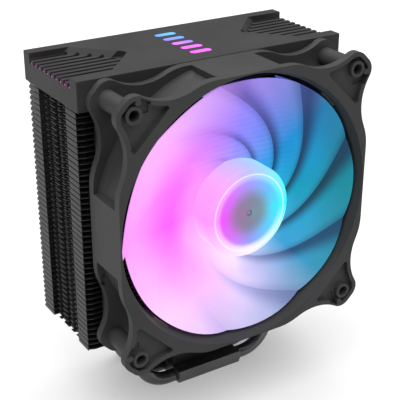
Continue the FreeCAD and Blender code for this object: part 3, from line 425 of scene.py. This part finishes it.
def light_guide_material():
    """The strip under the grooves: magenta at the left end, blue at the right end."""
    g = Graph("light_guide_glow")
    parts = g.add("ShaderNodeSeparateXYZ", {0: g.place})
    along = g.remap(parts.outputs["X"], -60 * MM, 60 * MM, 0.0, 1.0)
    glow = g.ramp(along, [
        (0.0, srgb(235, 70, 215)), (0.5, srgb(150, 120, 240)), (1.0, srgb(40, 170, 240)),
    ], "LINEAR")
    frost = g.noise(1500.0, 2.0)
    strength = g.remap(frost, 0.3, 0.7, 0.9, 1.3)
    normal = g.bump(frost, 0.2, 0.02 * MM)
    return g.finish(g.mix(0.7, glow, srgb(30, 30, 36)), 0.35, normal=normal,
                    Emission_Color=glow, Emission_Strength=strength)


def winding_material():
    """Enamelled copper wire laid in turns along the fan's axis."""
    g = Graph("copper_winding")
    local = g.vector("SUBTRACT", g.place, tuple(FAN_CENTRE)).outputs["Vector"]
    parts = g.add("ShaderNodeSeparateXYZ", {0: local})
    flat = g.add("ShaderNodeCombineXYZ", {"X": parts.outputs["X"], "Z": parts.outputs["Z"]})
    outward = g.vector("LENGTH", flat).outputs["Value"]
    turns = g.math("ABSOLUTE", g.math("SINE", g.math("MULTIPLY", outward, math.pi / (0.3 * MM))))
    # Painted shade and highlight: the copper darkens into the gaps between the turns and is lightest on
    # their crests.
    colour = g.mix(turns, srgb(92, 44, 22), srgb(196, 112, 62))
    return g.finish(colour, g.remap(turns, 0.0, 1.0, 0.45, 0.28), 0.85, g.bump(turns, 0.7, 0.08 * MM))


def board_material():
    """Dark solder mask with faint tracks."""
    g = Graph("circuit_board_dark")
    inputs = {"Vector": g.place, "Scale": 320.0}
    cells = g.add("ShaderNodeTexVoronoi", inputs, distance="MANHATTAN", feature="F1")
    tracks = g.remap(cells.outputs["Distance"], 0.42, 0.46, 0.0, 1.0)
    colour = g.mix(tracks, srgb(16, 34, 24), srgb(30, 62, 42))
    cloud = g.noise(500.0, 2.0)
    return g.finish(colour, g.remap(cloud, 0.3, 0.7, 0.3, 0.42), normal=g.bump(tracks, 0.4, 0.03 * MM))


def lamp_material():
    """A lit LED package."""
    g = Graph("led_lamp")
    frost = g.noise(1200.0, 2.0)
    glow = g.mix(g.remap(frost, 0.3, 0.7, 0.0, 1.0), srgb(255, 190, 255), srgb(200, 225, 255))
    return g.finish(srgb(220, 220, 215), 0.4, normal=g.bump(frost, 0.1, 0.02 * MM),
                    Emission_Color=glow, Emission_Strength=1.2)


def floor_material():
    """A pale matt floor with a faint glow that softens its shadows."""
    g = Graph("studio_floor")
    cloud = g.noise(3.0, 2.0)
    tone = g.remap(cloud, 0.3, 0.7, FLOOR_TONE - 0.01, FLOOR_TONE + 0.01)
    colour = g.shade(tone)
    return g.finish(colour, 0.8, Specular_IOR_Level=0.1,
                    Emission_Color=(1.0, 1.0, 1.0, 1.0), Emission_Strength=FLOOR_GLOW)


MATERIALS = {
    "cover_plastic": moulded_plastic("cover_plastic_fine", srgb(47, 47, 47), 0.5),
    "fan_plastic": moulded_plastic("fan_plastic_fine", srgb(53, 53, 53), 0.48),
    "black_fin": coated_metal("black_fin_coat", srgb(36, 36, 36), 0.42, 0.35, (60.0, 60.0, 2600.0)),
    "black_pipe": coated_metal("black_pipe_plate", srgb(96, 96, 98), 0.28, 0.8, (90.0, 90.0, 90.0)),
    "dark_base": coated_metal("dark_base_coat", srgb(104, 104, 106), 0.36, 0.7, (60.0, 2200.0, 2200.0)),
    "base_block": coated_metal("base_block_coat", srgb(50, 50, 52), 0.4, 0.6, (60.0, 2200.0, 2200.0)),
    "steel": coated_metal("screw_steel", srgb(150, 150, 152), 0.28, 0.95, (900.0, 900.0, 900.0)),
    "rotor_steel": coated_metal(
        "rotor_yoke_steel", srgb(140, 140, 143), 0.35, 0.95, (200.0, 2400.0, 200.0)),
    "magnet": coated_metal("bonded_ferrite", srgb(44, 43, 42), 0.6, 0.1, (1500.0, 1500.0, 1500.0)),
    "brass": coated_metal("turned_brass", srgb(196, 158, 84), 0.3, 0.95, (300.0, 2600.0, 300.0)),
    "bearing_bronze": coated_metal(
        "sintered_bronze", srgb(150, 100, 58), 0.45, 0.85, (2200.0, 2200.0, 2200.0)),
    "lamination_steel": coated_metal(
        "lamination_stack", srgb(120, 120, 124), 0.42, 0.9, (100.0, 2000.0, 100.0)),
    "white_nylon": moulded_plastic("white_nylon_fine", srgb(214, 212, 204), 0.45, 1.05),
    "chip_plastic": moulded_plastic("chip_epoxy", srgb(34, 34, 36), 0.55),
    "soft_rubber": moulded_plastic("soft_rubber_fine", srgb(38, 38, 39), 0.75, 1.2, grain=0.5),
    "frosted_impeller": blade_material(),
    "light_guide": light_guide_material(),
    "led_package": lamp_material(),
    "circuit_board": board_material(),
    "copper_wire": winding_material(),
}
HUB_MATERIAL = hub_material()
EMBLEM_MATERIAL = emblem_material()

slot_of = {row["node"]: row["material_slot"] for row in frame["record"]["subparts"]}
for node_name, node in nodes.items():
    material = EMBLEM_MATERIAL if node_name == "emblem_lens" else MATERIALS[slot_of[node_name]]
    for material_slot in node.material_slots:
        material_slot.material = material


def piece_from(name, mesh, material, body, replaced):
    """A finished mesh as a shown piece on a body."""
    mesh.materials.clear()
    mesh.materials.append(material)
    piece = bpy.data.objects.new(name, mesh)
    bpy.context.scene.collection.objects.link(piece)
    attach(piece, body)
    if replaced:
        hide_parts(*replaced)
    return piece


def spun(point, degrees):
    """A point turned about the fan's axis, +X towards +Z for a positive angle."""
    angle = math.radians(degrees)
    x, z = point.x - FAN_CENTRE.x, point.z - FAN_CENTRE.z
    return Vector((
        FAN_CENTRE.x + x * math.cos(angle) - z * math.sin(angle),
        point.y,
        FAN_CENTRE.z + x * math.sin(angle) + z * math.cos(angle),
    ))


def blade_point(fraction, along, side):
    """A point of a blade's skin: fraction from root to tip, along from the leading to the trailing edge."""
    def between(pair):
        return pair[0] + (pair[1] - pair[0]) * fraction

    span = between((ROOT_SPAN, TIP_SPAN))
    front, back = between(BLADE_FRONT), between(BLADE_BACK)
    chord = math.hypot(span, back - front)
    lift = 4 * chord * BLADE_CAMBER * along * (1 - along)
    edge = 1 - abs(2 * along - 1) ** 5
    half = between(BLADE_THICKNESS) / 2 * math.sqrt(max(edge, 0.0))
    away = lift + side * half
    tangent = span * (along - 0.5) - (back - front) / chord * away
    depth = front + (back - front) * along + span / chord * away
    local = Vector((between((ROOT_PLANE, TIP_PLANE)), depth, tangent)) * MM
    sweep = SWEEP[0] + SWEEP[1] * fraction + SWEEP[2] * fraction ** 2
    return spun(FAN_CENTRE + local, sweep)


def fraction_at(radius, along, side):
    """Where along a blade's length its skin reaches a radius."""
    low, high = 0.0, SEARCH_END
    for _ in range(SEARCH_STEPS):
        middle = (low + high) / 2
        point = blade_point(middle, along, side) - FAN_CENTRE
        if math.hypot(point.x, point.z) < radius * MM:
            low = middle
        else:
            high = middle
    return (low + high) / 2


def make_blades():
    """Nine swept, twisted blades with round noses and tips on one cylinder."""
    bm = bmesh.new()
    across_layer = bm.verts.layers.float.new("across")
    loop = [(step / CHORD_STEPS, 1) for step in range(CHORD_STEPS + 1)]
    loop += [(step / CHORD_STEPS, -1) for step in range(CHORD_STEPS - 1, 0, -1)]
    spacing = [0.5 - 0.5 * math.cos(math.pi * along) for along, side in loop]
    stations = [(along, side) for along, (_, side) in zip(spacing, loop)]
    template = []
    for along, side in stations:
        root = fraction_at(ROOT_RADIUS, along, side)
        tip = fraction_at(TIP_RADIUS, along, side)
        column = [
            blade_point(root + (tip - root) * row / SPAN_STEPS, along, side)
            for row in range(SPAN_STEPS + 1)
        ]
        template.append(column)
    for index in range(BLADE_COUNT):
        turn = index * 360 / BLADE_COUNT
        columns = []
        for (along, side), column in zip(stations, template):
            verts = []
            for point in column:
                vert = bm.verts.new(spun(point, turn))
                vert[across_layer] = along
                verts.append(vert)
            columns.append(verts)
        count = len(columns)
        for this in range(count):
            following = (this + 1) % count
            for row in range(SPAN_STEPS):
                bm.faces.new((
                    columns[this][row], columns[this][row + 1],
                    columns[following][row + 1], columns[following][row],
                ))
        for row in (0, SPAN_STEPS):
            bm.faces.new([column[row] for column in columns])
    bmesh.ops.recalc_face_normals(bm, faces=bm.faces)
    mesh = bpy.data.meshes.new("blades")
    bm.to_mesh(mesh)
    bm.free()
    mesh.shade_smooth()
    mesh.set_sharp_from_angle(angle=math.radians(BLADE_SHARP_ANGLE))
    return mesh


def revolved(name, profile, steps):
    """A closed ring of (radius, depth) points, in mm, turned about the fan's axis."""
    bm = bmesh.new()
    rings = []
    for radius, depth in profile:
        if radius == 0:
            rings.append([bm.verts.new(FAN_CENTRE + Vector((0, depth * MM, 0)))])
            continue
        ring = []
        for step in range(steps):
            angle = 2 * math.pi * step / steps
            offset = Vector((radius * math.cos(angle), depth, radius * math.sin(angle))) * MM
            ring.append(bm.verts.new(FAN_CENTRE + offset))
        rings.append(ring)
    for first, second in zip(rings, rings[1:]):
        for step in range(steps):
            after = (step + 1) % steps
            if len(first) == 1:
                bm.faces.new((first[0], second[step], second[after]))
            elif len(second) == 1:
                bm.faces.new((first[step], second[0], first[after]))
            else:
                bm.faces.new((first[step], second[step], second[after], first[after]))
    bmesh.ops.recalc_face_normals(bm, faces=bm.faces)
    mesh = bpy.data.meshes.new(name)
    bm.to_mesh(mesh)
    bm.free()
    mesh.shade_smooth()
    mesh.set_sharp_from_angle(angle=math.radians(HUB_SHARP_ANGLE))
    return mesh


def arc_points(centre, radius, start, end, steps):
    """Points of an arc in the (radius, depth) plane."""
    points = []
    for step in range(steps + 1):
        angle = math.radians(start + (end - start) * step / steps)
        points.append((centre[0] + radius[0] * math.cos(angle), centre[1] + radius[1] * math.sin(angle)))
    return points


def make_hub():
    """The hub cup: dimpled, slightly dished front, wide round edge, open back with its shaft boss."""
    inner = HUB_RADIUS - HUB_WALL
    roof = HUB_FRONT + HUB_WALL
    dished = HUB_FRONT + HUB_DISH
    profile = [(0, dished + HUB_NIPPLE), (0.7, dished + HUB_NIPPLE), (0.95, dished + 0.1)]
    profile += arc_points((HUB_GROOVE_RADIUS, dished), HUB_GROOVE_SIZE, 180, 360, 6)
    profile += [(3.0, dished), (8.0, HUB_FRONT + HUB_DISH * 0.9), (12.5, HUB_FRONT + HUB_DISH * 0.6)]
    profile += [(15.6, HUB_FRONT + 0.05), (16.4, HUB_FRONT)]
    edge = (HUB_RADIUS - HUB_RIM_RADIUS, HUB_EDGE_DEPTH)
    profile += arc_points((HUB_RIM_RADIUS, HUB_FRONT + HUB_EDGE_DEPTH), edge, 270, 360, 14)
    profile += [(HUB_RADIUS, 6.0), (HUB_RADIUS, 12.0)]
    profile += [(HUB_RADIUS, HUB_BACK - 0.3), (HUB_RADIUS - 0.3, HUB_BACK)]
    profile += [(inner + 0.2, HUB_BACK), (inner, HUB_BACK - 0.2), (inner, roof + 1.0), (inner - 1.0, roof)]
    profile += [(BOSS_RADIUS + 0.6, roof), (BOSS_RADIUS, roof + 0.6), (BOSS_RADIUS, BOSS_END)]
    profile += [(SHAFT_RADIUS, BOSS_END), (SHAFT_RADIUS, SHAFT_START), (0, SHAFT_START)]
    return revolved("hub", profile, HUB_STEPS)


blade_mesh, frosted = make_blades(), MATERIALS["frosted_impeller"]
piece_from("impeller_blades", blade_mesh, frosted, "rotor", ["impeller"])
piece_from("impeller_hub", make_hub(), HUB_MATERIAL, "rotor", [])


def make_lip_pads():
    """The two thin pads on the duct's inner wall, with rounded rims."""
    bm = bmesh.new()
    for turn in PAD_TURNS:
        grid = []
        for row in range(PAD_STEPS + 1):
            line = []
            for column in range(PAD_STEPS + 1):
                u, v = row / PAD_STEPS * 2 - 1, column / PAD_STEPS * 2 - 1
                rise = (1 - abs(u) ** 12) * (1 - abs(v) ** 8) * PAD_HEIGHT
                radius = PAD_RADIUS - rise
                angle = math.asin(u * PAD_LENGTH / 2 / PAD_RADIUS)
                depth = PAD_DEPTH[0] + (PAD_DEPTH[1] - PAD_DEPTH[0]) * column / PAD_STEPS
                offset = Vector((radius * math.cos(angle), depth, radius * math.sin(angle))) * MM
                line.append(bm.verts.new(spun(FAN_CENTRE + offset, turn)))
            grid.append(line)
        for row in range(PAD_STEPS):
            for column in range(PAD_STEPS):
                bm.faces.new((
                    grid[row][column], grid[row][column + 1],
                    grid[row + 1][column + 1], grid[row + 1][column],
                ))
        rim = [grid[row][0] for row in range(PAD_STEPS)]
        rim += [grid[PAD_STEPS][column] for column in range(PAD_STEPS)]
        rim += [grid[row][PAD_STEPS] for row in range(PAD_STEPS, 0, -1)]
        rim += [grid[0][column] for column in range(PAD_STEPS, 0, -1)]
        bm.faces.new(rim)
    bmesh.ops.recalc_face_normals(bm, faces=bm.faces)
    mesh = bpy.data.meshes.new("lip_pads")
    bm.to_mesh(mesh)
    bm.free()
    mesh.shade_smooth()
    mesh.set_sharp_from_angle(angle=math.radians(PAD_SHARP_ANGLE))
    return mesh


PAD_MATERIAL = moulded_plastic("lip_pad_rubber", srgb(74, 72, 62), 0.6, 1.2, grain=0.4)
piece_from("duct_lip_pads", make_lip_pads(), PAD_MATERIAL, "cooler", [])

# Floor and light
floor_mesh = bpy.data.meshes.new("floor")
floor_corners = []
for reach, height in ((FLOOR_REACH, 0), FLOOR_RIM):
    floor_corners += [(-reach, -reach, height), (reach, -reach, height)]
    floor_corners += [(reach, reach, height), (-reach, reach, height)]
floor_rim = [(side, (side + 1) % 4, (side + 1) % 4 + 4, side + 4) for side in range(4)]
floor_mesh.from_pydata(floor_corners, [], [(0, 1, 2, 3)] + floor_rim)
floor_mesh.materials.append(floor_material())
floor = bpy.data.objects.new("floor", floor_mesh)
bpy.context.scene.collection.objects.link(floor)

world = bpy.data.worlds.new("studio")
world.use_nodes = True
background = world.node_tree.nodes["Background"]
background.inputs["Color"].default_value = (1, 1, 1, 1)
background.inputs["Strength"].default_value = WORLD_STRENGTH
bpy.context.scene.world = world


def add_light(name, kind, place, target, **settings):
    """A light at one place, aimed at another."""
    data = bpy.data.lights.new(name, kind)
    for key, value in settings.items():
        setattr(data, key, value)
    light = bpy.data.objects.new(name, data)
    light.location = place
    light.rotation_mode = "QUATERNION"
    light.rotation_quaternion = (Vector(target) - Vector(place)).to_track_quat("-Z", "Y")
    bpy.context.scene.collection.objects.link(light)
    return light


add_light("overhead", "SUN", SUN_PLACE, (0, 0, 0), energy=SUN_ENERGY, angle=math.radians(SUN_SPREAD))
add_light(
    "left_softbox", "AREA", SOFTBOX_PLACE, SOFTBOX_TARGET,
    energy=SOFTBOX_ENERGY, shape="RECTANGLE", size=SOFTBOX_SIZE[0], size_y=SOFTBOX_SIZE[1],
)

# Camera, at the photograph's angle
camera_data = bpy.data.cameras.new("camera")
camera_data.lens = CAMERA_LENS
camera_data.sensor_width = CAMERA_SENSOR
camera_data.clip_start, camera_data.clip_end = CAMERA_CLIP
camera = bpy.data.objects.new("camera", camera_data)
camera.location = CAMERA_PLACE
camera.rotation_mode = "QUATERNION"
camera.rotation_quaternion = Vector(CAMERA_FORWARD).to_track_quat("-Z", "Y")
bpy.context.scene.collection.objects.link(camera)
bpy.context.scene.camera = camera
bpy.context.scene.view_settings.view_transform = "Standard"
